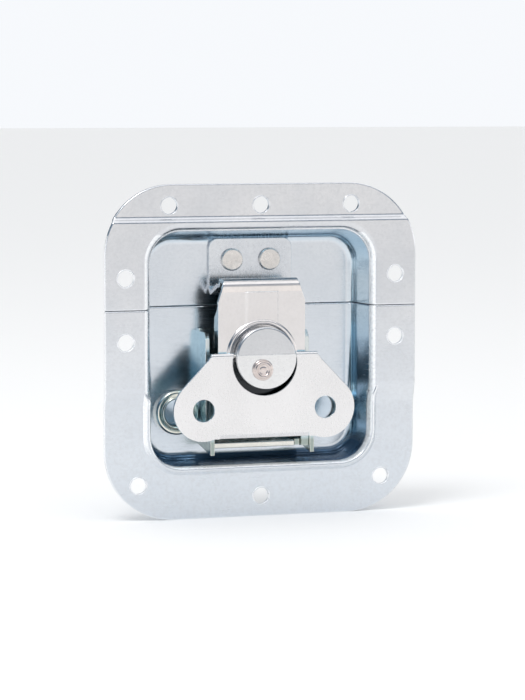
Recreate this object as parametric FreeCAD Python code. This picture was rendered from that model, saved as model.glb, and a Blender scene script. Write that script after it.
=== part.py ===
import FreeCAD
import Part
import math
import os

from FreeCAD import Vector

# Recessed butterfly latch for a case, in millimetres.
# The origin lies on the parting line between the two dish halves, at the centre
# of the four rim holes, on the back of the raised part of the rim.
# +X is to the right, +Z is up, and -Y points out of the case, towards the user.

# Driving dimensions: the pressed dish.
DISH_WIDTH = 104.0
RIM_TOP = 39.7
RIM_BOTTOM = -67.3
RIM_CORNER = 22.4
SHEET = 1.2
RIM_OFFSET = 1.6
STEP_Z = 28.0
STEP_RUN = 0.9
STEP_BEND = 1.1
JOGGLE_TOP = -26.0
JOGGLE_RUN = 5.5
JOGGLE_BEND = 8.0
PARTING_GAP = 0.3
RIM_SIDE = 14.8
RIM_ABOVE = 14.5
RIM_BELOW = 16.3
MOUTH_CORNER = 10.5
MOUTH_ROUND = 2.0
WALL_DRAFT = 1.7
TOP_DRAFT = 3.0
DISH_DEPTH = 14.5
FLOOR_FILLET = 2.6

# Driving dimensions: the rivet holes that fix the dish to the case.
FIX_HOLE_R = 2.6
TOP_HOLE_PITCH = 30.5
TOP_HOLE_INSET = 6.8
SIDE_HOLE_INSET = 6.8
SIDE_HOLE_Z = 10.15
LOW_HOLE_SIDE = 11.1
LOW_HOLE_INSET = 11.3
MIDDLE_HOLE_INSET = 6.5

# Driving dimensions: the turning drum, its crank pin and its wing.
DRUM_Z = -15.75
DRUM_R = 10.0
DRUM_FRONT = 4.1
DRUM_LENGTH = 4.75
DRUM_WALL = 1.2
HALF_PLATE = 0.45
HALF_PLATE_R = 9.9
BACK_PLATE = 0.9
CRANK = 4.0
CRANK_ANGLE = 22.0
CRANK_R = 1.5
CRANK_HEAD_R = 3.4
CRANK_HEAD = 0.9
FACE_SPLIT = 1.1
HINGE_PIN_R = 0.55
HINGE_RISE = 0.6
HINGE_DEPTH = 2.4
KNUCKLE_R = 0.95
KNUCKLE_GAP = 0.5
KNUCKLE_LENGTH = 7.2
WING_SHEET = 1.1
WING_FRONT = 2.4
WING_TOP_X = 18.9
WING_TOP_Z = -15.0
WING_LOBE_X = 20.4
WING_LOBE_Z = -32.25
WING_LOBE_R = 9.9
WING_BOTTOM = -41.5
WING_HOLE_R = 3.6
WING_CUT_GAP = 0.8
WING_CUT_DROP = 1.4
WING_BEVEL = 1.3

# Driving dimensions: the claw that the crank pin drives.
CLAW_SHEET = 1.3
CLAW_HALF = 14.6
CLAW_TIP_HALF = 12.5
CLAW_BOTTOM = -30.0
CLAW_SHOULDER = 1.6
CLAW_CREASE = 5.1
CLAW_TOP = 9.2
CLAW_LEAN = 0.12
CLAW_BEND_R = 1.8
CLAW_HOOK_REACH = 6.0
CLAW_HOOK_DROP = 1.8
CLAW_FLANGE = 4.6
CLAW_FLANGE_DROP = 4.4
ARCH_IN = 10.4
ARCH_OUT = 11.9
ARCH_RISE = 0.9
ARCH_ROUND = 0.6
RIB_HALF = 4.9
RIB_RISE = 0.5
RIB_SLOPE = 0.7
CRANK_PLAY_UP = 1.15
CRANK_PLAY_DOWN = 0.35

# Driving dimensions: the keeper, the base and what stands on it.
KEEPER_HALF = 14.0
KEEPER_SHEET = 1.3
KEEPER_TOP = 21.6
KEEPER_CORNER = 3.0
KEEPER_FOLD = 4.4
KEEPER_LIP_Z = 7.0
KEEPER_LIP_REACH = 9.4
KEEPER_RIVET_X = 6.35
KEEPER_RIVET_Z = 14.8
BASE_SHEET = 1.5
BASE_HALF = 17.4
BASE_WALL = 1.3
BASE_TOP = -7.2
EAR_BOTTOM = -47.0
WALL_TOP = -8.0
WALL_HEIGHT = 8.9
EAR_TOP = -41.0
EAR_HEIGHT = 14.3
BAR_RIGHT = 10.6
BAR_TOP = -42.8
BAR_THICK = 2.0
BAR_ROUND = 0.6
TAB_LEFT = 11.4
TAB_ROLL_R = 1.8
TAB_HEIGHT = 4.4
STUD_R = 1.8
STUD_HEAD_R = 2.4
COLLAR_R = 3.4
WASHER_R = 5.5
WASHER_SHEET = 0.6
RIVET_R = 1.95
RIVET_HEAD_R = 3.6
RIVET_HEAD = 1.0
BASE_RIVET_X = 9.5
BASE_RIVET_Z = (-10.5, -38.0)
BASE_RIVET_HEAD_R = 2.7
RING_GAP = 0.2
RING_Z = -34.3
RING_TO_FILLET = 0.9
RING_BAND = 2.6
RING_RISE = 2.4
RING_ROUND = 0.9
SPRING_SHEET = 0.5
SPRING_HALF = 4.0
SPRING_FOOT = 2.6
SPRING_RISE = 7.0
SPRING_BEND = 1.6
SPRING_TIP = 1.2
SPRING_EAR = 2.2

# Named clearances.
RUNNING = 0.04
RIVET_GAP = 0.05
SEAT_GAP = 0.05
AXIAL = 0.25
SLIDE_GAP = 0.15

# Places in the rim and on the floor that follow from the dimensions above.
MOUTH_HALF_WIDTH = DISH_WIDTH / 2 - RIM_SIDE
MOUTH_TOP = RIM_TOP - RIM_ABOVE
MOUTH_BOTTOM = RIM_BOTTOM + RIM_BELOW
TOP_HOLE_Z = RIM_TOP - TOP_HOLE_INSET
SIDE_HOLE_X = DISH_WIDTH / 2 - SIDE_HOLE_INSET
LOW_HOLE_X = DISH_WIDTH / 2 - LOW_HOLE_SIDE
LOW_HOLE_Z = RIM_BOTTOM + LOW_HOLE_INSET
MID_HOLE_Z = RIM_BOTTOM + MIDDLE_HOLE_INSET
FLAT_HALF_WIDTH = MOUTH_HALF_WIDTH - WALL_DRAFT - FLOOR_FILLET
RING_OUT = (FLAT_HALF_WIDTH - RING_TO_FILLET - BASE_HALF - RING_GAP) / 2
RING_IN = RING_OUT - RING_BAND
RING_X = BASE_HALF + RING_GAP + RING_OUT

# Levels along Y that follow from the dimensions above.
RIM_FACE = -SHEET
FLOOR_FACE = RIM_FACE + DISH_DEPTH
FLOOR_BACK = FLOOR_FACE + SHEET
DRUM_FACE = RIM_FACE - DRUM_FRONT
HALF_PLATE_FACE = DRUM_FACE - HALF_PLATE
DRUM_BACK = DRUM_FACE + DRUM_LENGTH
CLAW_FACE = DRUM_BACK + AXIAL
CLAW_BACK = CLAW_FACE + CLAW_SHEET
WING_FACE = RIM_FACE - WING_FRONT
HINGE_Y = DRUM_FACE + HINGE_DEPTH
HINGE_AXIS_Z = DRUM_Z + HINGE_RISE
KNUCKLE_IN = DRUM_R + KNUCKLE_GAP
KNUCKLE_OUT = KNUCKLE_IN + KNUCKLE_LENGTH
WING_CUT_R = DRUM_R + WING_CUT_GAP
BASE_FACE = FLOOR_FACE - BASE_SHEET
KEEPER_FACE = FLOOR_FACE - KEEPER_SHEET
CRANK_X = -CRANK * math.sin(math.radians(CRANK_ANGLE))
CRANK_Z = DRUM_Z - CRANK * math.cos(math.radians(CRANK_ANGLE))
CRANK_LIFT = CRANK + DRUM_Z - CRANK_Z


def box(x0, x1, y0, y1, z0, z1):
    """Box between two corners."""
    return Part.makeBox(x1 - x0, y1 - y0, z1 - z0, Vector(x0, y0, z0))


def disc(x, z, radius, y0, y1):
    """Cylinder along Y."""
    return Part.makeCylinder(radius, y1 - y0, Vector(x, y0, z), Vector(0, 1, 0))


def rod(x0, x1, y, z, radius):
    """Cylinder along X."""
    return Part.makeCylinder(radius, x1 - x0, Vector(x0, y, z), Vector(1, 0, 0))


def round_rectangle(x0, x1, z0, z1, radius, y):
    """Closed wire in the plane at y, with four round corners."""
    k = radius * (1 - math.sqrt(0.5))
    points = []
    for sx, sz, first in ((1, 1, True), (-1, 1, False), (-1, -1, True), (1, -1, False)):
        cx = x1 if sx > 0 else x0
        cz = z1 if sz > 0 else z0
        side = Vector(cx, y, cz - sz * radius)
        flat = Vector(cx - sx * radius, y, cz)
        middle = Vector(cx - sx * k, y, cz - sz * k)
        points.append((side, middle, flat) if first else (flat, middle, side))
    edges = []
    for i, (start, middle, end) in enumerate(points):
        edges.append(Part.Arc(start, middle, end).toShape())
        edges.append(Part.makeLine(end, points[(i + 1) % 4][0]))
    return Part.Wire(edges)


def round_block(x0, x1, z0, z1, radius, y0, y1):
    """Round-cornered block along Y."""
    face = Part.Face(round_rectangle(x0, x1, z0, z1, radius, y0))
    return face.extrude(Vector(0, y1 - y0, 0))


def side_prism(points, x0, x1):
    """Prism along X from (y, z) points."""
    corners = [Vector(x0, y, z) for y, z in points]
    corners.append(corners[0])
    return Part.Face(Part.makePolygon(corners)).extrude(Vector(x1 - x0, 0, 0))


def front_prism(points, y0, y1):
    """Prism along Y from (x, z) points."""
    corners = [Vector(x, y0, z) for x, z in points]
    corners.append(corners[0])
    return Part.Face(Part.makePolygon(corners)).extrude(Vector(0, y1 - y0, 0))


def bent_strip(path, thickness, x0, x1):
    """Sheet of constant thickness that follows a centre line of (y, z) points."""
    half = thickness / 2
    left = []
    right = []
    for i, (y, z) in enumerate(path):
        before = path[max(i - 1, 0)]
        after = path[min(i + 1, len(path) - 1)]
        normals = []
        for a, b in ((before, (y, z)), ((y, z), after)):
            length = math.hypot(b[0] - a[0], b[1] - a[1])
            if length > 0:
                normals.append(((b[1] - a[1]) / length, -(b[0] - a[0]) / length))
        ny = sum(n[0] for n in normals) / len(normals)
        nz = sum(n[1] for n in normals) / len(normals)
        scale = half / (ny * ny + nz * nz)
        left.append((y + ny * scale, z + nz * scale))
        right.append((y - ny * scale, z - nz * scale))
    return side_prism(left + right[::-1], x0, x1)


def round_edges(shape, radius, test):
    """Round the edges that pass the test."""
    edges = [e for e in shape.Edges if test(e)]
    return shape.makeFillet(radius, edges)


def along_x(edge):
    """True for a straight edge along X."""
    box_ = edge.BoundBox
    return box_.YLength < 1e-6 and box_.ZLength < 1e-6


def lies_at(edge, heights):
    """True for an edge that starts at one of the heights along Z."""
    return min(abs(edge.BoundBox.ZMin - z) for z in heights) < 1e-3


def mirror_x(shape):
    """Copy of a shape on the other side of the centre plane."""
    return shape.mirror(Vector(0, 0, 0), Vector(1, 0, 0))


def rivet(x, z, head_r, front, back, shank_r=RIVET_R):
    """Rivet along Y: a flat round head in front, a shank and a spread tail behind."""
    head = disc(x, z, head_r, front - RIVET_HEAD, front)
    head = round_edges(head, RIVET_HEAD * 0.45, lambda e: e.BoundBox.YMax < front - RIVET_HEAD + 1e-3)
    shank = disc(x, z, shank_r, front - RIVET_HEAD / 2, back + RIVET_HEAD / 2)
    tail = disc(x, z, head_r * 0.85, back, back + RIVET_HEAD)
    return head.fuse(shank).fuse(tail).removeSplitter()


def rim_profile(shift):
    """Side line of the rim from top to bottom, moved along Y by shift."""
    high = RIM_FACE + shift
    low = high + RIM_OFFSET
    return [
        (low, RIM_TOP + 1),
        (low, STEP_Z + STEP_RUN),
        (high, STEP_Z),
        (high, JOGGLE_TOP),
        (low, JOGGLE_TOP - JOGGLE_RUN),
        (low, RIM_BOTTOM - 1),
    ]


def rim_sheet():
    """Stepped rim of the whole dish, still without its mouth."""
    half = DISH_WIDTH / 2
    outline = round_block(-half, half, RIM_BOTTOM, RIM_TOP, RIM_CORNER, -20, 30)
    strip = side_prism(rim_profile(0) + rim_profile(SHEET)[::-1], -half - 1, half + 1)
    for radius, bends in (
        (JOGGLE_BEND, (JOGGLE_TOP, JOGGLE_TOP - JOGGLE_RUN)),
        (STEP_BEND, (STEP_Z, STEP_Z + STEP_RUN)),
    ):
        strip = round_edges(strip, radius, lambda e: along_x(e) and lies_at(e, bends))
    return strip.common(outline)


def pocket(grow, start):
    """Drafted pocket of the dish, grown outwards by grow and begun at start."""
    floor = FLOOR_FACE + grow
    wires = []
    for y, share in ((start, (start - RIM_FACE) / DISH_DEPTH), (floor, 1)):
        inset = WALL_DRAFT * share
        half = MOUTH_HALF_WIDTH - inset + grow
        low = MOUTH_BOTTOM + inset - grow
        high = MOUTH_TOP - TOP_DRAFT * share + grow
        wires.append(round_rectangle(-half, half, low, high, MOUTH_CORNER - inset + grow, y))
    block = Part.makeLoft(wires, True, True)
    return round_edges(block, FLOOR_FILLET + grow, lambda e: e.BoundBox.YMin > floor - 1e-3)


def mouth_round():
    """Tool that rolls the rim softly into the mouth, one band for each rim level."""
    tools = []
    for level, z0, z1 in (
        (RIM_FACE, JOGGLE_TOP - JOGGLE_RUN * 0.35, RIM_TOP),
        (RIM_FACE + RIM_OFFSET, RIM_BOTTOM, JOGGLE_TOP - JOGGLE_RUN * 0.35),
    ):
        wires = []
        for step in range(5):
            turn = math.radians(22.5 * step)
            grow = MOUTH_ROUND * (1 - math.sin(turn))
            y = level + MOUTH_ROUND * (1 - math.cos(turn))
            half = MOUTH_HALF_WIDTH + grow
            radius = MOUTH_CORNER + grow
            wires.append(
                round_rectangle(-half, half, MOUTH_BOTTOM - grow, MOUTH_TOP + grow, radius, y)
            )
        tool = Part.makeLoft(wires, True, True)
        tools.append(tool.common(box(-60, 60, -30, 30, z0, z1)))
    return tools


def fixing_holes():
    """Centres of the ten holes in the rim."""
    centres = [(x, TOP_HOLE_Z) for x in (-TOP_HOLE_PITCH, 0, TOP_HOLE_PITCH)]
    centres += [(x, z) for x in (-SIDE_HOLE_X, SIDE_HOLE_X) for z in (-SIDE_HOLE_Z, SIDE_HOLE_Z)]
    centres += [(-LOW_HOLE_X, LOW_HOLE_Z), (0, MID_HOLE_Z), (LOW_HOLE_X, LOW_HOLE_Z)]
    return centres


def base_rivet_centres():
    """Centres of the rivets that hold the base on the floor."""
    return [(x, z) for z in BASE_RIVET_Z for x in (-BASE_RIVET_X, BASE_RIVET_X)]


def keeper_rivet_centres():
    """Centres of the two rivets of the keeper."""
    return [(-KEEPER_RIVET_X, KEEPER_RIVET_Z), (KEEPER_RIVET_X, KEEPER_RIVET_Z)]


def whole_dish():
    """Both dish halves as one pressing, before they are parted."""
    shell = rim_sheet().fuse(pocket(SHEET, RIM_FACE + SHEET * 0.6))
    shell = shell.cut(pocket(0, RIM_FACE - 1))
    for tool in mouth_round():
        shell = shell.cut(tool)
    for x, z in fixing_holes():
        shell = shell.cut(disc(x, z, FIX_HOLE_R, -10, 10))
    for x, z in keeper_rivet_centres() + base_rivet_centres():
        shell = shell.cut(disc(x, z, RIVET_R + RIVET_GAP, FLOOR_FACE - 1, FLOOR_BACK + 1))
    shell = shell.cut(disc(0, DRUM_Z, STUD_R + RIVET_GAP, FLOOR_FACE - 1, FLOOR_BACK + 1))
    return shell


def keeper_plate():
    """Plate on the upper floor whose lower edge folds up and out into a lip."""
    y = KEEPER_FACE + KEEPER_SHEET / 2
    path = [
        (y, KEEPER_TOP),
        (y, KEEPER_FOLD + 1.6),
        (y - 2.2, KEEPER_FOLD),
        (y - KEEPER_LIP_REACH, KEEPER_LIP_Z),
    ]
    plate = bent_strip(path, KEEPER_SHEET, -KEEPER_HALF, KEEPER_HALF)
    plate = plate.common(pocket(-SEAT_GAP, RIM_FACE - 1))
    for sign in (-1, 1):
        x = sign * KEEPER_HALF
        centre = x - sign * KEEPER_CORNER
        low = KEEPER_TOP - KEEPER_CORNER
        corner = box(min(x, centre), max(x, centre), 0, 20, low, KEEPER_TOP)
        keep = disc(centre, low, KEEPER_CORNER, 0, 20)
        plate = plate.cut(corner.cut(keep))
    for x, z in keeper_rivet_centres():
        plate = plate.cut(disc(x, z, RIVET_R + RIVET_GAP, 0, 20))
    return plate


def latch_base():
    """Channel riveted to the lower floor, with side walls, ears and an end bar."""
    low_wall = BASE_FACE + BASE_SHEET - WALL_HEIGHT
    high_wall = BASE_FACE + BASE_SHEET - EAR_HEIGHT
    bottom = BAR_TOP - BAR_THICK
    solid = box(-BASE_HALF, BASE_HALF, BASE_FACE, FLOOR_FACE, bottom, BASE_TOP)
    wall_points = [
        (FLOOR_FACE, WALL_TOP),
        (low_wall + 2.0, WALL_TOP),
        (low_wall, WALL_TOP - 2.0),
        (low_wall, EAR_TOP + 2.5),
        (high_wall, EAR_TOP),
        (high_wall, EAR_BOTTOM),
        (FLOOR_FACE, bottom),
    ]
    wall = side_prism(wall_points, BASE_HALF - BASE_WALL, BASE_HALF)
    solid = solid.fuse(wall).fuse(mirror_x(wall))
    roll_x = BASE_HALF - BASE_WALL - TAB_ROLL_R + 0.4
    roll_y = high_wall + TAB_ROLL_R
    roll = Part.makeCylinder(TAB_ROLL_R, TAB_HEIGHT, Vector(roll_x, roll_y, bottom))
    tab = box(TAB_LEFT, BASE_HALF - BASE_WALL, roll_y, FLOOR_FACE, bottom, BAR_TOP)
    solid = solid.fuse(roll).fuse(tab).removeSplitter()
    for x, z in base_rivet_centres():
        solid = solid.cut(disc(x, z, RIVET_R + RIVET_GAP, 0, 20))
    return solid.cut(disc(0, DRUM_Z, STUD_R + RIVET_GAP, 0, 20))


def stop_bar():
    """Folded bar across the lower end of the base, seated on its plate."""
    inner = BASE_HALF - BASE_WALL
    front = BASE_FACE + BASE_SHEET - EAR_HEIGHT
    bar = box(-inner + RIVET_GAP, BAR_RIGHT, front, BASE_FACE, BAR_TOP - BAR_THICK, BAR_TOP)
    return round_edges(bar, BAR_ROUND, lambda e: along_x(e) and e.BoundBox.YMax < front + 1e-3)


def centre_stud():
    """Stud from the floor: collar, neck through the claw, head inside the drum."""
    collar_face = CLAW_BACK + AXIAL + WASHER_SHEET
    head_back = DRUM_BACK - BACK_PLATE - RIVET_GAP
    stud = disc(0, DRUM_Z, COLLAR_R, collar_face, BASE_FACE)
    stud = stud.fuse(disc(0, DRUM_Z, STUD_R, head_back - 0.4, FLOOR_BACK + 0.4))
    stud = stud.fuse(disc(0, DRUM_Z, STUD_HEAD_R, head_back - 0.7, head_back))
    return stud.fuse(disc(0, DRUM_Z, COLLAR_R, FLOOR_BACK, FLOOR_BACK + 0.8)).removeSplitter()


def thrust_washer():
    """Washer between the collar of the stud and the claw."""
    back = CLAW_BACK + AXIAL + WASHER_SHEET
    ring = disc(0, DRUM_Z, WASHER_R, back - WASHER_SHEET, back)
    return ring.cut(disc(0, DRUM_Z, STUD_R + RIVET_GAP, 0, 20))


def rest_ring(x):
    """Clinched ring on the floor under one lobe of the wing."""
    front = FLOOR_FACE - RING_RISE
    ring = disc(x, RING_Z, RING_OUT, front, FLOOR_FACE)
    ring = ring.cut(disc(x, RING_Z, RING_IN, front - 1, FLOOR_FACE + 1))
    return round_edges(ring, RING_ROUND, lambda e: e.BoundBox.YMax < front + 1e-3)


def leaf_spring():
    """Leaf held under the upper base rivets, bowed forward behind the claw."""
    y = BASE_FACE - SPRING_SHEET / 2
    z = BASE_RIVET_Z[0]
    tip = CLAW_BACK + AXIAL + SPRING_SHEET
    bend = z + SPRING_FOOT + SPRING_RISE
    path = [
        (y, z - SPRING_FOOT),
        (y, z + SPRING_FOOT),
        (tip + SPRING_BEND, bend - SPRING_BEND),
        (tip, bend),
        (tip + SPRING_TIP / 2, bend + SPRING_TIP),
    ]
    leaf = bent_strip(path, SPRING_SHEET, -SPRING_HALF, SPRING_HALF)
    half = BASE_RIVET_X + SPRING_EAR
    foot = box(-half, half, BASE_FACE - SPRING_SHEET, BASE_FACE, z - SPRING_FOOT, z + SPRING_FOOT)
    leaf = leaf.fuse(foot).removeSplitter()
    leaf = leaf.cut(disc(0, DRUM_Z, COLLAR_R + AXIAL, 0, 20))
    for x in (-BASE_RIVET_X, BASE_RIVET_X):
        leaf = leaf.cut(disc(x, z, RIVET_R + RIVET_GAP, 0, 20))
    return leaf


def base_rivets():
    """Four rivets of the base; the upper two also hold the leaf spring."""
    solids = []
    for x, z in base_rivet_centres():
        front = BASE_FACE - (SPRING_SHEET if z == BASE_RIVET_Z[0] else 0)
        solids.append(rivet(x, z, BASE_RIVET_HEAD_R, front, FLOOR_BACK))
    return Part.makeCompound(solids)


def drum_cup():
    """Round cup that is turned by the wing."""
    cup = disc(0, DRUM_Z, DRUM_R, DRUM_FACE, DRUM_BACK)
    cup = round_edges(cup, 0.8, lambda e: e.BoundBox.YMax < DRUM_FACE + 1e-3)
    inside = DRUM_R - DRUM_WALL
    cup = cup.cut(disc(0, DRUM_Z, inside, DRUM_FACE + DRUM_WALL, DRUM_BACK + 1))
    cup = cup.cut(disc(CRANK_X, CRANK_Z, CRANK_R + RIVET_GAP, DRUM_FACE - 1, DRUM_BACK))
    return cup.cut(rod(-20, 20, HINGE_Y, HINGE_AXIS_Z, HINGE_PIN_R + RIVET_GAP))


def drum_half_plate():
    """Half-round plate on the lower half of the drum, held by the crank pin."""
    plate = disc(0, DRUM_Z, HALF_PLATE_R, HALF_PLATE_FACE, DRUM_FACE)
    plate = round_edges(plate, HALF_PLATE * 0.6, lambda e: e.BoundBox.YMax < HALF_PLATE_FACE + 1e-3)
    plate = plate.cut(box(-20, 20, -20, 20, DRUM_Z + FACE_SPLIT, 20))
    return plate.cut(disc(CRANK_X, CRANK_Z, CRANK_R + RIVET_GAP, -20, 0))


def drum_back_plate():
    """Plate that closes the cup and runs on the neck of the stud."""
    radius = DRUM_R - DRUM_WALL - RIVET_GAP
    plate = disc(0, DRUM_Z, radius, DRUM_BACK - BACK_PLATE, DRUM_BACK)
    plate = plate.cut(disc(0, DRUM_Z, STUD_R + RUNNING, -10, 10))
    return plate.cut(disc(CRANK_X, CRANK_Z, CRANK_R + RIVET_GAP, -10, 10))


def crank_pin():
    """Pin off the centre of the drum: dished head in front, end in the claw."""
    front = HALF_PLATE_FACE - CRANK_HEAD
    head = disc(CRANK_X, CRANK_Z, CRANK_HEAD_R, front, HALF_PLATE_FACE)
    head = round_edges(head, CRANK_HEAD * 0.5, lambda e: e.BoundBox.YMax < front + 1e-3)
    dimple = Part.makeCone(1.5, 0.9, 0.35, Vector(CRANK_X, front, CRANK_Z), Vector(0, 1, 0))
    shank = disc(CRANK_X, CRANK_Z, CRANK_R, HALF_PLATE_FACE - CRANK_HEAD / 2, CLAW_BACK)
    return head.cut(dimple).fuse(shank).removeSplitter()


def hinge_pin():
    """Pin across the drum that carries the wing; its ends stay inside the knuckles."""
    end = KNUCKLE_OUT - AXIAL
    return rod(-end, end, HINGE_Y, HINGE_AXIS_Z, HINGE_PIN_R)


def lobe_side():
    """Outline points of the right half of the wing, from the top edge down."""
    dx = WING_TOP_X - WING_LOBE_X
    dz = WING_TOP_Z - 1.4 - WING_LOBE_Z
    reach = math.hypot(dx, dz)
    lean = math.atan2(dz, dx) - math.acos(WING_LOBE_R / reach)
    points = [(0, WING_TOP_Z), (WING_TOP_X - 1.8, WING_TOP_Z), (WING_TOP_X - 0.6, WING_TOP_Z - 0.5)]
    points.append((WING_TOP_X, WING_TOP_Z - 1.4))
    low = math.asin((WING_BOTTOM - WING_LOBE_Z) / WING_LOBE_R)
    sweep_end = -math.pi - low
    steps = 28
    for i in range(steps + 1):
        turn = lean + (sweep_end - lean) * i / steps
        points.append((
            WING_LOBE_X + WING_LOBE_R * math.cos(turn),
            WING_LOBE_Z + WING_LOBE_R * math.sin(turn),
        ))
    points.append((0, WING_BOTTOM))
    return points


def wing_handle():
    """Butterfly wing with two round lobes, folded flat over the lower dish."""
    back = WING_FACE + WING_SHEET
    half = front_prism(lobe_side(), WING_FACE, back)
    wing = half.fuse(mirror_x(half)).removeSplitter()
    wing = wing.cut(disc(0, DRUM_Z - WING_CUT_DROP, WING_CUT_R, -20, 20))
    notch = box(-KNUCKLE_IN, KNUCKLE_IN, -20, 20, HINGE_AXIS_Z - KNUCKLE_R - 0.1, 0)
    wing = wing.cut(notch)
    for sign in (-1, 1):
        wing = wing.cut(disc(sign * WING_LOBE_X, WING_LOBE_Z, WING_HOLE_R, -20, 20))
    bevel = side_prism([
        (WING_FACE - 1, WING_BOTTOM - 1),
        (WING_FACE - 1, WING_BOTTOM + WING_BEVEL),
        (WING_FACE, WING_BOTTOM + WING_BEVEL),
        (back - 0.3, WING_BOTTOM),
        (back - 0.3, WING_BOTTOM - 1),
    ], -15, 15)
    wing = wing.cut(bevel)
    knuckle = rod(KNUCKLE_IN, KNUCKLE_OUT, HINGE_Y, HINGE_AXIS_Z, KNUCKLE_R)
    wing = wing.fuse(knuckle).fuse(mirror_x(knuckle)).removeSplitter()
    bore = rod(-KNUCKLE_OUT, KNUCKLE_OUT, HINGE_Y, HINGE_AXIS_Z, HINGE_PIN_R + RUNNING)
    return wing.cut(bore)


def claw_face_line():
    """Centre line of the claw in side view, from its bottom end to the hook tip."""
    y = CLAW_FACE + CLAW_SHEET / 2
    top = CLAW_TOP - CLAW_SHEET / 2
    lean = y + CLAW_LEAN
    back = lean + CLAW_HOOK_REACH - CLAW_SHEET
    line = [(y, CLAW_BOTTOM), (y, CLAW_CREASE)]
    steps = 5
    for i in range(steps + 1):
        turn = math.pi / 2 * i / steps
        line.append((
            lean + CLAW_BEND_R * (1 - math.cos(turn)),
            top - CLAW_BEND_R * (1 - math.sin(turn)),
        ))
    line.append((back, top))
    line.append((back, top - CLAW_HOOK_DROP + CLAW_SHEET / 2))
    return line


def claw_outline():
    """Front outline of the claw as a tall prism, narrower at the hook."""
    return front_prism([
        (-CLAW_HALF, CLAW_BOTTOM + 3), (-CLAW_HALF, CLAW_SHOULDER + 0.4),
        (-CLAW_TIP_HALF, CLAW_TOP - 0.8), (-CLAW_TIP_HALF, CLAW_TOP + 2),
        (CLAW_TIP_HALF, CLAW_TOP + 2), (CLAW_TIP_HALF, CLAW_TOP - 0.8),
        (CLAW_HALF, CLAW_SHOULDER + 0.4), (CLAW_HALF, CLAW_BOTTOM + 3),
        (CLAW_HALF - 3, CLAW_BOTTOM), (-CLAW_HALF + 3, CLAW_BOTTOM),
    ], -30, 30)


def claw_rise():
    """Raised rib with sloped sides and a rounded arch that stiffen the claw."""
    front = CLAW_FACE - ARCH_RISE
    arch = disc(0, DRUM_Z, ARCH_OUT, front, CLAW_FACE + 0.2)
    arch = arch.cut(disc(0, DRUM_Z, ARCH_IN, -20, 20))
    arch = round_edges(arch, ARCH_ROUND, lambda e: e.BoundBox.YMax < front + 1e-3)
    points = [
        (-RIB_HALF - RIB_SLOPE, CLAW_FACE), (-RIB_HALF, CLAW_FACE - RIB_RISE),
        (RIB_HALF, CLAW_FACE - RIB_RISE), (RIB_HALF + RIB_SLOPE, CLAW_FACE),
        (RIB_HALF + RIB_SLOPE, CLAW_FACE + 0.2), (-RIB_HALF - RIB_SLOPE, CLAW_FACE + 0.2),
    ]
    corners = [Vector(x, y, DRUM_Z) for x, y in points]
    corners.append(corners[0])
    rib = Part.Face(Part.makePolygon(corners)).extrude(Vector(0, 0, CLAW_CREASE - DRUM_Z))
    rib = rib.cut(disc(0, DRUM_Z, ARCH_IN, -20, 20))
    return arch.fuse(rib).cut(box(-20, 20, -20, 20, -60, DRUM_Z - 1.5))


def claw_plate():
    """Claw with hook, rib, arch and turned-back sides, and the crank's cross slot."""
    plate = bent_strip(claw_face_line(), CLAW_SHEET, -CLAW_HALF, CLAW_HALF)
    plate = plate.common(claw_outline())
    side = side_prism([
        (CLAW_FACE, CLAW_SHOULDER - 0.6),
        (CLAW_FACE + CLAW_FLANGE, CLAW_SHOULDER - 0.6 - CLAW_FLANGE_DROP),
        (CLAW_FACE + CLAW_FLANGE, CLAW_BOTTOM + 6),
        (CLAW_FACE, CLAW_BOTTOM + 4),
    ], CLAW_HALF - CLAW_SHEET, CLAW_HALF)
    plate = plate.fuse(side).fuse(mirror_x(side)).fuse(claw_rise()).removeSplitter()
    play = STUD_R + SLIDE_GAP
    slot = round_block(-play, play, DRUM_Z - CRANK_LIFT - play, DRUM_Z + play, play - 0.01, -20, 20)
    low = CRANK_Z - CRANK_R - CRANK_PLAY_DOWN
    high = CRANK_Z + CRANK_R + CRANK_PLAY_UP
    wide = CRANK + CRANK_R + SLIDE_GAP
    cross = round_block(-wide, wide, low, high, CRANK_R, -20, 20)
    return plate.cut(slot).cut(cross)


def halves():
    """The upper and the lower dish, parted on the parting line."""
    dish = whole_dish()
    gap = PARTING_GAP / 2
    upper = dish.common(box(-80, 80, -40, 40, gap, 80))
    lower = dish.common(box(-80, 80, -40, 40, -90, -gap))
    return upper, lower


def build():
    """Every node by name."""
    upper, lower = halves()
    keeper = [
        rivet(x, z, RIVET_HEAD_R, KEEPER_FACE, FLOOR_BACK) for x, z in keeper_rivet_centres()
    ]
    return {
        "upper_dish": upper,
        "lower_dish": lower,
        "keeper_plate": keeper_plate(),
        "keeper_rivet_left": keeper[0],
        "keeper_rivet_right": keeper[1],
        "latch_base": latch_base(),
        "stop_bar": stop_bar(),
        "base_rivets": base_rivets(),
        "rest_ring_left": rest_ring(-RING_X),
        "rest_ring_right": rest_ring(RING_X),
        "centre_stud": centre_stud(),
        "thrust_washer": thrust_washer(),
        "leaf_spring": leaf_spring(),
        "drum_cup": drum_cup(),
        "drum_half_plate": drum_half_plate(),
        "drum_back_plate": drum_back_plate(),
        "crank_pin": crank_pin(),
        "hinge_pin": hinge_pin(),
        "wing_handle": wing_handle(),
        "claw_plate": claw_plate(),
    }


os.makedirs("parts", exist_ok=True)
for name, shape in build().items():
    shape.exportStep("parts/" + name + ".step")
    print(name, shape.isValid(), len(shape.Solids), round(shape.Volume, 1))
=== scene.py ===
# %% [markdown]
# # A recessed butterfly latch in bright zinc
# The object is the kind of latch that closes a transport case: a pressed dish in two
# halves, a keeper riveted to the upper half, and on the lower half a base that carries a
# turning drum, a folding wing and a hooked claw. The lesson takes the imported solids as
# they are and gives them their looks: plated metal, wear, small pressed details and light.

import math

import bmesh
import bpy
from mathutils import Matrix, Vector


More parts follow.
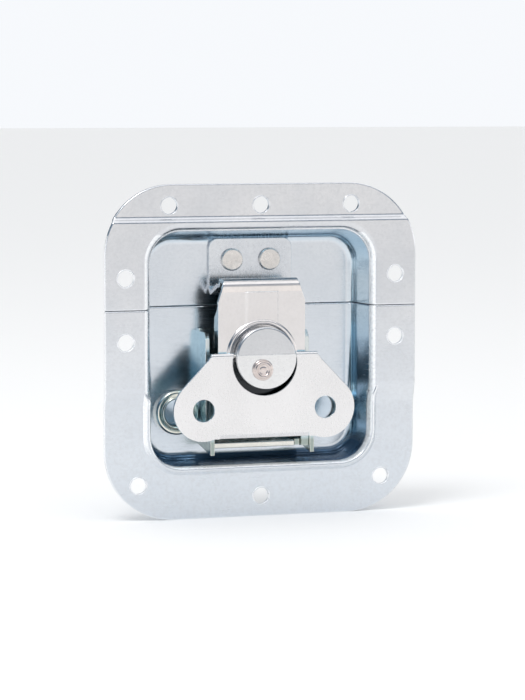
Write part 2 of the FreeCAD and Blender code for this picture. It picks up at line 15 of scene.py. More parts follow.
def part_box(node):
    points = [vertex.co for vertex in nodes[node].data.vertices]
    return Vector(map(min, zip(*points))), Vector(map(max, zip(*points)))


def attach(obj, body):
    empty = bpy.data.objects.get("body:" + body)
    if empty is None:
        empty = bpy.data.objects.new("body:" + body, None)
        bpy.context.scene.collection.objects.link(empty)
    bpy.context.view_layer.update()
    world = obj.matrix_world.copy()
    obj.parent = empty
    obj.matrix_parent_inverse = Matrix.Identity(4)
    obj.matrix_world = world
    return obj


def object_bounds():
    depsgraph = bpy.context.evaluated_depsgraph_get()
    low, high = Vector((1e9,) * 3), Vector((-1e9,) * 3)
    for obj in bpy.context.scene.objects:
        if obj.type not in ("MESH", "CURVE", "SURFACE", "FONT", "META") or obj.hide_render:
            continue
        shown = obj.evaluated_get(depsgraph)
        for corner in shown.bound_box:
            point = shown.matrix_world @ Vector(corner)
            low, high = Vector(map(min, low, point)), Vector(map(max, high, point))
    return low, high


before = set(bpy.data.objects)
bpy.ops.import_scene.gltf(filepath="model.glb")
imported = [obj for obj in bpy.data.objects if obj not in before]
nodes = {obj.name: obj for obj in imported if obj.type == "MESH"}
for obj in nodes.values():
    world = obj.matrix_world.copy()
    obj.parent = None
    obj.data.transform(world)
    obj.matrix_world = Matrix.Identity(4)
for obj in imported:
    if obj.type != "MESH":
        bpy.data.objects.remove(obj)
cad_low, cad_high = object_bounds()
MM = 0.001

# %% [markdown]
# ## Reading sizes from the frame
# An added detail sits on a solid, so its place is worked out from the box of the node that
# carries it where the box can tell it. Sizes that no box can tell, such as the joggle of the
# rim or the outline of the mouth, are named once, in the cell that first needs them.

# %% Read the levels of the dish, the drum and the rings
rim_low, rim_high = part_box("lower_dish")
drum_low, drum_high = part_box("drum_cup")
crank_low, crank_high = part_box("crank_pin")
ring_low, ring_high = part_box("rest_ring_left")
rim_face = rim_low.y
floor_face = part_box("latch_base")[1].y
drum_centre = (drum_low + drum_high) / 2
crank_centre = (crank_low + crank_high) / 2
ring_centre = (ring_low + ring_high) / 2
print("rim face", round(rim_face / MM, 2), "floor", round(floor_face / MM, 2), "mm")

# %% [markdown]
# ## Small tools for shader nodes
# A finish is a tree of shader nodes, and written out in full such a tree hides what it does.
# Five short functions keep it readable: one makes a node, one takes a value from one range to
# another, one runs a sum over several values, one drops a sign and one mixes two colours.


# %% Make, remap, combine and mix
def add(tree, kind, **values):
    """New node with its inputs set by name."""
    node = tree.nodes.new(kind)
    for key, value in values.items():
        if key in node.inputs:
            node.inputs[key].default_value = value
        else:
            setattr(node, key, value)
    return node


def remap(tree, value, low, high, out_low, out_high):
    """Value taken from one range to another, clamped."""
    node = add(tree, "ShaderNodeMapRange")
    node.clamp = True
    for i, number in ((1, low), (2, high), (3, out_low), (4, out_high)):
        node.inputs[i].default_value = number
    tree.links.new(value, node.inputs[0])
    return node.outputs[0]


def combine(tree, operation, first, *others):
    """One maths operation run over two or more values in turn."""
    for other in others:
        node = add(tree, "ShaderNodeMath", operation=operation)
        tree.links.new(first, node.inputs[0])
        tree.links.new(other, node.inputs[1])
        first = node.outputs[0]
    return first


def magnitude(tree, value):
    """The value without its sign."""
    node = add(tree, "ShaderNodeMath", operation="ABSOLUTE")
    tree.links.new(value, node.inputs[0])
    return node.outputs[0]


def mix_colour(tree, share, first, second):
    """Mix of two colours, each a tuple or a socket."""
    node = add(tree, "ShaderNodeMix", data_type="RGBA")
    tree.links.new(share, node.inputs["Factor"])
    for socket, colour in ((node.inputs[6], first), (node.inputs[7], second)):
        if isinstance(colour, tuple):
            socket.default_value = (*colour, 1)
        else:
            tree.links.new(colour, socket)
    return node.outputs[2]


print("node tools ready")

# %% [markdown]
# ## Where a point lies and where it faces
# On this latch the colour follows the shape: the walls, the edges and the backs carry painted
# reflection, painted shade and painted highlights. Painting such places on pictures would
# need an unwrapped mesh. Here the shader reads each point's own place in millimetres and the
# way that the surface faces, which works on any mesh and at any distance.


# %% Read place, facing, noise and edges
def spot_on_latch(tree):
    """Place of the shaded point, as separate X, Y and Z."""
    place = add(tree, "ShaderNodeTexCoord")
    spot = add(tree, "ShaderNodeSeparateXYZ")
    tree.links.new(place.outputs["Object"], spot.inputs[0])
    return spot.outputs


def facing_of(tree):
    """Direction that the surface faces, as separate X, Y and Z."""
    geometry = add(tree, "ShaderNodeNewGeometry")
    facing = add(tree, "ShaderNodeSeparateXYZ")
    tree.links.new(geometry.outputs["Normal"], facing.inputs[0])
    return facing.outputs


def from_axis(tree, across, height, centre_x, centre_z):
    """Distance from an axis that runs along Y."""
    flat = add(tree, "ShaderNodeCombineXYZ")
    tree.links.new(across, flat.inputs["X"])
    tree.links.new(height, flat.inputs["Z"])
    gap = add(tree, "ShaderNodeVectorMath", operation="DISTANCE")
    gap.inputs[1].default_value = (centre_x, 0, centre_z)
    tree.links.new(flat.outputs[0], gap.inputs[0])
    return gap.outputs["Value"]


def per_mm(tree, size, stretch=(1, 1, 1), detail=3.0, rough=0.55):
    """Noise whose features are about size millimetres wide, stretched along an axis."""
    place = add(tree, "ShaderNodeTexCoord")
    scale = add(tree, "ShaderNodeMapping")
    scale.inputs["Scale"].default_value = [1 / (size * MM * s) for s in stretch]
    noise = add(tree, "ShaderNodeTexNoise", Scale=1.0, Detail=detail, Roughness=rough)
    tree.links.new(place.outputs["Object"], scale.inputs["Vector"])
    tree.links.new(scale.outputs["Vector"], noise.inputs["Vector"])
    return noise.outputs["Fac"]


def edge_wear_and_sheen(tree, radius):
    """Rounded normal, and a mask that is 1 on sharp edges, which are painted brighter: partly worn by
    handling, partly a painted highlight.
    """
    bevel = add(tree, "ShaderNodeBevel", Radius=radius, samples=8)
    geometry = add(tree, "ShaderNodeNewGeometry")
    dot = add(tree, "ShaderNodeVectorMath", operation="DOT_PRODUCT")
    tree.links.new(bevel.outputs["Normal"], dot.inputs[0])
    tree.links.new(geometry.outputs["Normal"], dot.inputs[1])
    return bevel.outputs["Normal"], remap(tree, dot.outputs["Value"], 0.995, 0.86, 0.0, 1.0)


print("surface tools ready")

# %% [markdown]
# ## The plated metals
# A plated sheet isn't one flat grey. Its colour drifts by a few percent over a hand's width,
# its gloss changes where it was drawn over the die, and its cut edges are brighter, partly worn
# and partly as a painted highlight. One recipe holds all of that, so each metal of the latch
# is only a row of numbers: its two colours, its gloss, the run of its polishing marks and the
# colour of its bright edges.


# %% Define one plated-metal recipe with its own grain
def plated(name, light, dark, gloss, grain, edge, drift=22.0, scratch=0.5, lift=0.06, fleck=0.35,
           overlay=None, lower=None, painted_light=None, soft=0.28):
    """Plated metal: slow colour drift, grain in the gloss, fine bump and bright edges.

    light and dark are the two ends of the colour drift, gloss the lowest and highest
    roughness, grain the stretch of the marks along X, Y and Z, edge the edge colour.
    drift and scratch are the widths in mm of the colour drift and of the fine marks, lift is
    the strength of the bump and fleck the share of small dark specks.
    overlay may add one more colour layer: it takes the tree and returns a share and a colour.
    lower is a colour that the piece turns to towards its foot.
    The argument after lower gives the share and colour of a painted highlight and painted shade, laid on
    as dull, less metallic plating.
    soft is the radius in mm over which the bends of the sheet run into each other.
    """
    material = bpy.data.materials.new(name)
    material.use_nodes = True
    tree = material.node_tree
    shader = tree.nodes["Principled BSDF"]
    shader.inputs["Metallic"].default_value = 1.0
    normal, edges = edge_wear_and_sheen(tree, soft * MM)
    slow = remap(tree, per_mm(tree, drift), 0.35, 0.65, 0.0, 1.0)
    speck = remap(tree, per_mm(tree, 0.9, detail=2.0), 0.42, 0.72, 0.0, fleck)
    body = mix_colour(tree, slow, light, dark)
    # Bluer towards the foot of the piece.
    if lower is not None:
        down = remap(tree, spot_on_latch(tree)["Z"], 10 * MM, -55 * MM, 0.0, 0.75)
        body = mix_colour(tree, down, body, lower)
    body = mix_colour(tree, speck, body, tuple(c * 0.86 for c in dark))
    # The overlay paints reflection and shade into the colour.
    if overlay is not None:
        share, painted_tone = overlay(tree)
        body = mix_colour(tree, share, body, painted_tone)
    # Sharp edges turn brighter: partly worn by handling, partly a painted highlight.
    colour = mix_colour(tree, edges, body, edge)
    # Painted highlight and painted shade, laid on as dull plating with less metal.
    if painted_light is not None:
        painted_light_share, painted_light_colour = painted_light(tree)
        colour = mix_colour(tree, painted_light_share, colour, painted_light_colour)
        tree.links.new(remap(tree, painted_light_share, 0.0, 1.0, 1.0, 0.15), shader.inputs["Metallic"])
    marks = per_mm(tree, scratch, stretch=grain, detail=4.0, rough=0.65)
    cloud = per_mm(tree, drift * 0.45, detail=4.0)
    roughness = combine(
        tree, "MULTIPLY",
        remap(tree, marks, 0.3, 0.7, 0.6, 1.0), remap(tree, cloud, 0.3, 0.7, gloss[0], gloss[1]),
    )
    coarse = add(tree, "ShaderNodeBump", Strength=lift, Distance=0.12 * MM)
    fine = add(tree, "ShaderNodeBump", Strength=lift * 0.8, Distance=0.03 * MM)
    tree.links.new(cloud, coarse.inputs["Height"])
    tree.links.new(normal, coarse.inputs["Normal"])
    tree.links.new(marks, fine.inputs["Height"])
    tree.links.new(coarse.outputs["Normal"], fine.inputs["Normal"])
    tree.links.new(colour, shader.inputs["Base Color"])
    tree.links.new(roughness, shader.inputs["Roughness"])
    tree.links.new(fine.outputs["Normal"], shader.inputs["Normal"])
    return material


print("recipe ready: plated")

# %% Mix the plain metals
drum_metal = plated(
    "drum_metal", light=(0.67, 0.67, 0.685), dark=(0.61, 0.615, 0.63), gloss=(0.20, 0.32),
    grain=(4, 1, 1), edge=(0.96, 0.96, 0.95), lift=0.04,
)
half_metal = plated(
    "half_metal", light=(0.82, 0.815, 0.815), dark=(0.78, 0.775, 0.775), gloss=(0.24, 0.36),
    grain=(4, 1, 1), edge=(0.98, 0.98, 0.97), lift=0.03,
)
bar_metal = plated(
    "bar_metal", light=(0.83, 0.81, 0.75), dark=(0.75, 0.73, 0.67), gloss=(0.22, 0.36),
    grain=(6, 1, 1), edge=(0.97, 0.96, 0.90),
)
rivet_metal = plated(
    "rivet_metal", light=(0.78, 0.745, 0.715), dark=(0.70, 0.665, 0.635), gloss=(0.30, 0.46),
    grain=(1, 1, 1), edge=(0.90, 0.89, 0.87), drift=4.0, scratch=0.3, lift=0.10,
)
crank_metal = plated(
    "crank_metal", light=(0.76, 0.68, 0.65), dark=(0.62, 0.54, 0.51), gloss=(0.20, 0.34),
    grain=(1, 1, 1), edge=(0.97, 0.93, 0.90), drift=2.5, scratch=0.3, lift=0.12,
)
keeper_metal = plated(
    "keeper_metal", light=(0.71, 0.725, 0.75), dark=(0.63, 0.65, 0.685), gloss=(0.24, 0.38),
    grain=(1, 1, 2), edge=(0.93, 0.94, 0.95), lift=0.015,
)
ring_metal = plated(
    "ring_metal", light=(0.84, 0.84, 0.78), dark=(0.68, 0.68, 0.58), gloss=(0.12, 0.24),
    grain=(1, 1, 1), edge=(0.98, 0.98, 0.94), drift=5.0, scratch=0.4,
)
spring_metal = plated(
    "spring_metal", light=(0.42, 0.43, 0.46), dark=(0.28, 0.30, 0.34), gloss=(0.22, 0.36),
    grain=(1, 1, 7), edge=(0.60, 0.61, 0.63),
)
# Painted shade for the dark ribbon inside the parting joint.
joint_shade = plated(
    "joint_shade", light=(0.10, 0.12, 0.15), dark=(0.05, 0.06, 0.08), gloss=(0.45, 0.60),
    grain=(1, 1, 1), edge=(0.14, 0.15, 0.18), drift=6.0, scratch=0.4,
)
print("plain metals:", len(bpy.data.materials))

# %% [markdown]
# ## The painted reflection on the walls
# The walls of the dish mirror the blue round the latch, and that reflection is painted into
# their colour: pale blue high up, bluer lower down, navy in the hollow at the foot. The floor
# gets a little of the same painted reflection, and inside the two rest rings it is painted in
# blue-grey shade. Lamps alone could give some of this, but not in every view, so the painted
# reflection is a colour layer whose share follows how steep the sheet is and how deep it lies
# below the rim.

# %% Measure the depth below the rim
JOGGLE_TOP = -25 * MM
JOGGLE_FOOT = -33 * MM
JOGGLE = 1.6 * MM
RING_HOLLOW = 5.0 * MM


def below_rim(tree, spot):
    """Depth behind the back of the rim, whose lower part is set back by the joggle."""
    shift = remap(tree, spot["Z"], JOGGLE_TOP, JOGGLE_FOOT, 0.0, JOGGLE)
    return combine(tree, "SUBTRACT", spot["Y"], shift)


def within_rings(tree, spot):
    """Mask of the floor inside the two rest rings, where blue-grey shade is painted, mirrored about the
    middle plane.
    """
    radius = from_axis(tree, magnitude(tree, spot["X"]), spot["Z"], abs(ring_centre.x), ring_centre.z)
    disc = remap(tree, radius, RING_HOLLOW + 0.2 * MM, RING_HOLLOW - 0.2 * MM, 0.0, 0.97)
    front_only = remap(tree, spot["Y"], floor_face + 0.2 * MM, floor_face + 0.6 * MM, 1.0, 0.0)
    return combine(tree, "MINIMUM", disc, front_only)


print("joggle of", JOGGLE / MM, "mm over", round((JOGGLE_TOP - JOGGLE_FOOT) / MM, 1), "mm")


# %% Paint the blue reflection on the walls
def painted_wall_reflection(tree):
    """Share and colour of the painted reflection and painted shade where the sheet was drawn down into
    the dish.
    """
    spot = spot_on_latch(tree)
    facing = facing_of(tree)
    flat = magnitude(tree, facing["Y"])
    steep = remap(tree, flat, 0.97, 0.55, 0.0, 0.85)
    upward = remap(tree, facing["Z"], 0.20, 0.50, 0.0, 0.98)
    inside = remap(tree, below_rim(tree, spot), 0.2 * MM, 2.0 * MM, 0.0, 1.0)
    walls = combine(tree, "MULTIPLY", combine(tree, "MAXIMUM", steep, upward), inside)
    # Painted reflection: a little of the blue tint on the deep floor.
    floor_reflection_share = remap(tree, spot["Y"], 9 * MM, 12 * MM, 0.0, 0.30)
    sheet = remap(tree, flat, 0.97, 0.995, 0.0, 1.0)
    # Painted shade on the floor inside the two rest rings.
    ring_floor_shade = combine(tree, "MULTIPLY", within_rings(tree, spot), sheet)
    down = remap(tree, spot["Z"], 6 * MM, -32 * MM, 0.0, 1.0)
    top = remap(tree, spot["Z"], 8 * MM, 20 * MM, 0.0, 1.0)
    # Painted reflection: pale blue high on the walls, darker blue lower down, navy at the foot.
    wall = mix_colour(tree, down, (0.78, 0.91, 0.97), (0.23, 0.43, 0.61))
    wall = mix_colour(tree, top, wall, (0.42, 0.63, 0.78))
    hollow = remap(tree, flat, 0.20, 0.40, 0.0, 1.0)
    foot = mix_colour(tree, hollow, (0.05, 0.13, 0.24), (0.072, 0.135, 0.205))
    painted_tone = mix_colour(tree, upward, wall, foot)
    share = combine(tree, "MAXIMUM", walls, floor_reflection_share, ring_floor_shade)
    return share, mix_colour(tree, sheet, painted_tone, (0.58, 0.66, 0.74))


print("film of the walls ready")

# %% [markdown]
# ## The painted highlight on the lip of the dish
# The rounded mouth of the dish carries a painted highlight, a dull white line that is
# strongest where the round faces right and down. A thin strip would need its own mesh. This
# painted highlight instead picks the first millimetre or so of the round by its slope, and
# fades on faces that look far to the right, on the raised top edge and on the outer slope. The
# foot of the wall below it gets a painted navy reflection.

# %% Paint a highlight on the lip and a navy reflection at the foot of the wall
MOUTH_HALF = 37.2 * MM
RAISED_RIM_TOP = 24.0 * MM


def outer_slope(tree, facing, spot):
    """Share of the painted highlight on the outer slope of the lower lip: 0.1 there and 1 elsewhere."""
    low = remap(tree, spot["Z"], -38 * MM, -43 * MM, 0.0, 0.9)
    downward = remap(tree, facing["Z"], -0.08, -0.30, 0.0, 1.0)
    return remap(tree, combine(tree, "MULTIPLY", low, downward), 0.0, 1.0, 1.0, 0.0)


def painted_lip_light(tree):
    """Share and colour of the painted highlight on the lip and of the painted navy reflection at the
    foot.
    """
    facing = facing_of(tree)
    spot = spot_on_latch(tree)
    flat = magnitude(tree, facing["Y"])
    right_and_down = combine(tree, "SUBTRACT", facing["X"], facing["Z"])
    # Painted highlight: a dull white line on the first millimetre of the mouth's round.
    early = combine(
        tree, "MULTIPLY",
        remap(tree, flat, 0.996, 0.978, 0.0, 1.0),
        remap(tree, right_and_down, 0.03, 0.10, 0.0, 1.0),
        remap(tree, magnitude(tree, spot["X"]), MOUTH_HALF + 1.6 * MM, MOUTH_HALF + 2.2 * MM, 1.0, 0.12),
    )
    painted_light_share = combine(
        tree, "MULTIPLY",
        combine(tree, "MAXIMUM", remap(tree, flat, 0.96, 0.84, 0.0, 1.0), early),
        remap(tree, below_rim(tree, spot), 1.3 * MM, 0.2 * MM, 0.0, 1.0),
        remap(tree, facing["X"], 0.40, 0.62, 1.0, 0.12),
        remap(tree, spot["Z"], RAISED_RIM_TOP, RAISED_RIM_TOP - 0.5 * MM, 0.0, 1.0),
        remap(tree, per_mm(tree, 0.8, detail=2.0), 0.32, 0.60, 0.78, 1.0),
        outer_slope(tree, facing, spot),
    )
    # Painted navy reflection at the foot of the wall.
    navy = combine(
        tree, "MULTIPLY",
        remap(tree, below_rim(tree, spot), 2.0 * MM, 4.0 * MM, 0.0, 1.0),
        remap(tree, facing["Z"], 0.22, 0.52, 0.0, 0.75),
    )
    at_foot = remap(tree, navy, 0.0, 0.10, 0.0, 1.0)
    colour = mix_colour(tree, at_foot, (0.95, 0.97, 0.99), (0.020, 0.060, 0.125))
    return combine(tree, "MAXIMUM", painted_light_share, navy), colour


# The dish carries painted reflection on its walls and a painted highlight on its lip.
dish_zinc = plated(
    "dish_zinc", light=(0.73, 0.73, 0.745), dark=(0.66, 0.67, 0.695), gloss=(0.20, 0.32),
    grain=(14, 14, 1), edge=(0.92, 0.93, 0.95),
    overlay=painted_wall_reflection, lower=(0.68, 0.73, 0.785), painted_light=painted_lip_light, soft=0.8,
)
print("dish_zinc:", len(dish_zinc.node_tree.nodes), "nodes")

# %% [markdown]
# ## Painted reflection and shade on the wing, the base and the claw
# The backs and sides of the wing, the base and the claw are painted bluer, so that their mirror
# images read teal: a painted reflection. The ears at the foot of the base get a greenish painted
# shade, and round the lower edge of the drum a dark crescent of painted shade lies on the claw.
# All three are colour layers on the same recipe, because a second skin of geometry for the
# crescent would shimmer in the sheet.

# %% Paint the backs and the ears
EARS_TOP = -40.5 * MM
EARS_FOOT = -43.0 * MM


def painted_back_reflection(tree):
    """Painted reflection: a bluer colour on the faces that look into the dish or to the side."""
    return remap(tree, facing_of(tree)["Y"], -0.45, 0.10, 0.0, 0.9), (0.40, 0.68, 0.82)


def shaded_foot(tree):
    """Painted shade, greenish, on the ears and the tab at the foot of the base, and painted blue
    reflection on its side walls.
    """
    low = remap(tree, spot_on_latch(tree)["Z"], EARS_TOP, EARS_FOOT, 0.0, 0.9)
    side, blue = painted_back_reflection(tree)
    return combine(tree, "MAXIMUM", low, side), mix_colour(tree, low, blue, (0.30, 0.33, 0.28))


wing_plate = plated(
    "wing_plate", light=(0.84, 0.825, 0.825), dark=(0.80, 0.785, 0.785), gloss=(0.28, 0.38),
    grain=(1, 1, 1.6), edge=(0.98, 0.98, 0.97),
    drift=30.0, scratch=0.25, lift=0.008, fleck=0.04, overlay=painted_back_reflection,
)
base_metal = plated(
    "base_metal", light=(0.80, 0.82, 0.80), dark=(0.62, 0.66, 0.66), gloss=(0.18, 0.34),
    grain=(1, 1, 8), edge=(0.96, 0.95, 0.88), overlay=shaded_foot,
)
print("with a film:", wing_plate.name, base_metal.name)

# %% Paint shade on the claw round the drum
DRUM_SHADE_Z = drum_centre.z - 0.3 * MM
DRUM_SHADE_REACH = 13.6 * MM


def painted_shade_under_drum(tree):
    """Share and colour of the painted shade on the claw's front, and of the painted reflection on its
    back.
    """
    spot = spot_on_latch(tree)
    radius = from_axis(tree, spot["X"], spot["Z"], drum_centre.x, DRUM_SHADE_Z)
    # Painted shade: a dark crescent on the claw below the drum.
    drum_shade = combine(
        tree, "MULTIPLY",
        remap(tree, facing_of(tree)["Y"], -0.2, -0.8, 0.0, 0.97),
        remap(tree, radius, DRUM_SHADE_REACH, DRUM_SHADE_REACH - 1.0 * MM, 0.0, 1.0),
        remap(tree, spot["Z"], DRUM_SHADE_Z + 1.0 * MM, DRUM_SHADE_Z - 3.0 * MM, 0.0, 1.0),
    )
    back, blue = painted_back_reflection(tree)
    colour = mix_colour(tree, back, (0.015, 0.018, 0.022), blue)
    return combine(tree, "MAXIMUM", drum_shade, back), colour


claw_metal = plated(
    "claw_metal", light=(0.80, 0.765, 0.755), dark=(0.73, 0.70, 0.69), gloss=(0.14, 0.24),
    grain=(1, 4, 7), edge=(0.98, 0.97, 0.95), lift=0.04, fleck=0.2, overlay=painted_shade_under_drum,
)
print("materials:", len(bpy.data.materials))

# %% [markdown]
# ## Dressing the solids
# Each solid already has its right shape, so it keeps its mesh and only takes its finish. The
# dish halves share one finish, while wing, claw, drum and base each have their own, because
# they were plated and polished as separate parts.

# %% Give every solid its finish
finishes = {
    "upper_dish": dish_zinc, "lower_dish": dish_zinc, "keeper_plate": keeper_metal,
    "keeper_rivet_left": rivet_metal, "keeper_rivet_right": rivet_metal,
    "latch_base": base_metal, "stop_bar": bar_metal, "base_rivets": rivet_metal,
    "rest_ring_left": ring_metal, "rest_ring_right": ring_metal,
    "centre_stud": rivet_metal, "thrust_washer": spring_metal, "leaf_spring": spring_metal,
    "drum_cup": drum_metal, "drum_half_plate": half_metal, "drum_back_plate": drum_metal,
    "crank_pin": crank_metal, "hinge_pin": rivet_metal,
    "wing_handle": wing_plate, "claw_plate": claw_metal,
}
for name, node in nodes.items():
    node.data.materials.clear()
    node.data.materials.append(finishes[name])
print("dressed:", len(finishes))

# %% [markdown]
# ## From points to pieces
# The details that follow are all swept sheets: rows of points with quads between them. That
# gives clean meshes with few faces, and no modifier has to be applied. Two functions do the
# common work, one to skin the rows and one to hang the finished mesh in the scene.


# %% Skin rows of points and make the piece
def skin(mesh, rows):
    """Quads between each two rows of points."""
    for first, second in zip(rows, rows[1:]):
        for k in range(len(first) - 1):
            mesh.faces.new((first[k], first[k + 1], second[k + 1], second[k]))


def make_piece(mesh, name, finish, smooth=True):
    """Object with the finished mesh and one material."""
    data = bpy.data.meshes.new(name)
    mesh.to_mesh(data)
    mesh.free()
    for face in data.polygons:
        face.use_smooth = smooth
    data.materials.append(finish)
    piece = bpy.data.objects.new(name, data)
    bpy.context.scene.collection.objects.link(piece)
    return piece


print("sweep tools ready")

# %% [markdown]
# ## Punched holes
# Each fixing hole was punched from behind, so its edge stands up as a fine rolled burr that
# catches the light as a bright crescent. A bump in the material would not show from the side.
# The burr is a low ring whose height wanders round the hole, built from a small profile that
# is turned about the hole's centre.


# %% Turn a profile into an uneven ring
def uneven_ring(name, rings, profile, wander, body, finish, steps=48):
    """One mesh of rings about the Y axis.

    rings holds (x, face y, z, phase); profile holds (radius, height towards the user).
    """
    mesh = bmesh.new()
    for x, face, z, phase in rings:
        loops = []
        for i in range(steps):
            turn = 2 * math.pi * i / steps
            lift = 1 + wander * math.sin(turn + phase) + wander * 0.6 * math.sin(3 * turn - phase)
            loops.append([
                mesh.verts.new((
                    x + radius * math.cos(turn), face - height * lift, z + radius * math.sin(turn)
                ))
                for radius, height in profile
            ])
        skin(mesh, loops + loops[:1])
    bmesh.ops.recalc_face_normals(mesh, faces=mesh.faces)
    piece = make_piece(mesh, name, finish)
    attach(piece, body)
    return piece


def arch(inner, outer, height, sink=0.05 * MM, steps=8):
    """Low rounded profile between two radii, its feet sunk a little into the sheet."""
    points = [(inner, -sink)]
    for i in range(steps + 1):
        share = i / steps
        points.append((inner + (outer - inner) * share, height * math.sin(math.pi * share)))
    points.append((outer, -sink))
    return points


print("points in an arch:", len(arch(1, 2, 1)))

# %% Roll the burrs round the ten holes
HOLE_R = 2.6 * MM
SIDE_HOLE_X, SIDE_HOLE_Z = 45.2 * MM, 10.15 * MM
TOP_HOLE_X, TOP_HOLE_Z = 30.5 * MM, 32.9 * MM
CORNER_HOLE_X, CORNER_HOLE_Z = 40.9 * MM, -56.0 * MM
MIDDLE_HOLE_Z = -60.8 * MM
low_face = rim_face + JOGGLE
upper_holes = [(side * TOP_HOLE_X, low_face, TOP_HOLE_Z) for side in (-1, 0, 1)]
upper_holes += [(side * SIDE_HOLE_X, rim_face, SIDE_HOLE_Z) for side in (-1, 1)]
lower_holes = [(side * SIDE_HOLE_X, rim_face, -SIDE_HOLE_Z) for side in (-1, 1)]
lower_holes += [
    (-CORNER_HOLE_X, low_face, CORNER_HOLE_Z), (0, low_face, MIDDLE_HOLE_Z),
    (CORNER_HOLE_X, low_face, CORNER_HOLE_Z),
]
burr = arch(inner=HOLE_R, outer=HOLE_R + 0.42 * MM, height=0.13 * MM)
for name, holes in (("hole_burrs_upper", upper_holes), ("hole_burrs_lower", lower_holes)):
    rings = [(*hole, 1.3 * i + 2.4) for i, hole in enumerate(holes)]
    uneven_ring(name, rings, burr, wander=0.35, body="dish", finish=dish_zinc)
print("burrs:", len(upper_holes) + len(lower_holes))

# %% [markdown]
# ## The rolled lip of the lower mouth
# Below the joggle the rim lies deeper, so the drawn wall stands a little proud of it, and the
# sheet rolls over there in one soft bead. A bevel can't make it, because the bead is higher
# than the rim. Its profile is swept along the mouth's outline instead, round both corners,
# and at the joggle each end dips outwards into the sheet until it is gone.

# %% Follow the outline of the lower mouth
MOUTH_FOOT = -51.0 * MM
MOUTH_CORNER = 10.5 * MM
BEAD_TOP = -25.6 * MM
BEAD_STEP = 0.5 * MM
SIDE_STEPS = 30
CORNER_STEPS = 18
bead_path = [(-MOUTH_HALF, BEAD_TOP - BEAD_STEP * i, -1, 0) for i in range(SIDE_STEPS)]
for start, side in ((math.pi, -1), (1.5 * math.pi, 1)):
    for i in range(CORNER_STEPS + 1):
        turn = start + math.pi / 2 * i / CORNER_STEPS
        away_x, away_z = math.cos(turn), math.sin(turn)
        bead_path.append((
            side * (MOUTH_HALF - MOUTH_CORNER) + MOUTH_CORNER * away_x,
            MOUTH_FOOT + MOUTH_CORNER + MOUTH_CORNER * away_z, away_x, away_z,
        ))
bead_path += [(-x, z, 1, 0) for x, z, _, _ in reversed(bead_path[:SIDE_STEPS])]
print("outline:", len(bead_path), "points")

# %% Sweep the bead along it
BEAD_FULL = -29.5 * MM
TUCK_OUT = 1.3 * MM
TUCK_IN = 1.2 * MM
# Each pair is the distance outwards from the mouth and the level Y, in millimetres.
bead_profile = [
    (2.25, 0.47), (2.05, 0.36), (1.85, 0.20), (1.62, 0.00), (1.38, -0.22), (1.12, -0.43), (0.84, -0.58),
    (0.55, -0.65), (0.27, -0.62), (0.03, -0.50), (-0.15, -0.30), (-0.27, 0.00), (-0.35, 0.50),
    (-0.42, 1.10), (-0.47, 1.80), (-0.49, 2.50), (-0.44, 3.20),
]


def ease(share):
    """Smooth step from 0 to 1, held at both ends."""
    share = min(1.0, max(0.0, share))
    return share * share * (3.0 - 2.0 * share)


bead = bmesh.new()
strips = []
for x, z, away_x, away_z in bead_path:
    fade = ease((z - BEAD_FULL) / (BEAD_TOP - BEAD_FULL))
    set_back = JOGGLE * ease((JOGGLE_TOP - z) / (JOGGLE_TOP - JOGGLE_FOOT))
    shift = TUCK_IN * fade + set_back - JOGGLE
    strips.append([
        bead.verts.new((
            x + (grow * MM + TUCK_OUT * fade) * away_x, level * MM + shift, z + grow * MM * away_z
        ))
        for grow, level in bead_profile
    ])
skin(bead, strips)
bmesh.ops.recalc_face_normals(bead, faces=bead.faces)
lip_roll = make_piece(bead, "lower_lip_roll", dish_zinc)
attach(lip_roll, "dish")
print("bead:", len(strips), "sections of", len(bead_profile), "points")

# %% [markdown]
# ## The parting line
# The two dish halves meet edge to edge, and the joint reads as one thin dark line across the
# rim, the walls and the floor. The gap between the solids would let light through from behind,
# so a narrow dark ribbon of painted shade lies inside it. It follows the pressed section just
# below the surface.

# %% Lay the dark ribbon into the joint
MOUTH_ROUND = 2.0 * MM
WALL_HALF = 35.5 * MM
FLOOR_FILLET = 2.6 * MM
RIBBON_SINK = 0.28 * MM
RIBBON_HALF = 0.16 * MM
ARC_STEPS = 8
round_x = MOUTH_HALF + MOUTH_ROUND
section = [(rim_high.x - 0.05 * MM, rim_face + RIBBON_SINK), (round_x, rim_face + RIBBON_SINK)]
for i in range(1, ARC_STEPS + 1):
    turn = math.pi / 2 * i / ARC_STEPS
    radius = MOUTH_ROUND - RIBBON_SINK
    section.append((
        round_x - radius * math.sin(turn), rim_face + MOUTH_ROUND - radius * math.cos(turn)
    ))
for i in range(ARC_STEPS + 1):
    turn = math.pi / 2 * i / ARC_STEPS
    radius = FLOOR_FILLET + RIBBON_SINK
    section.append((
        WALL_HALF - FLOOR_FILLET + radius * math.cos(turn),
        floor_face - FLOOR_FILLET + radius * math.sin(turn),
    ))
section += [(-x, y) for x, y in reversed(section)]
ribbon = bmesh.new()
skin(ribbon, [[ribbon.verts.new((x, y, side * RIBBON_HALF)) for side in (-1, 1)] for x, y in section])
# The ribbon is painted shade in the joint between the halves.
parting = make_piece(ribbon, "parting_shade", joint_shade, smooth=False)
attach(parting, "dish")
print("joint follows", len(section), "points over", round(2 * rim_high.x / MM, 1), "mm")

# %% [markdown]
# ## Clinched rings
# The rings under the wing's lobes are clinched: an inner collar is rolled over inside an
# outer one, which leaves two beads with a dark groove between them. The solid is the outer
# bead, and the inner one is a second low arch, turned with the same function as the burrs.

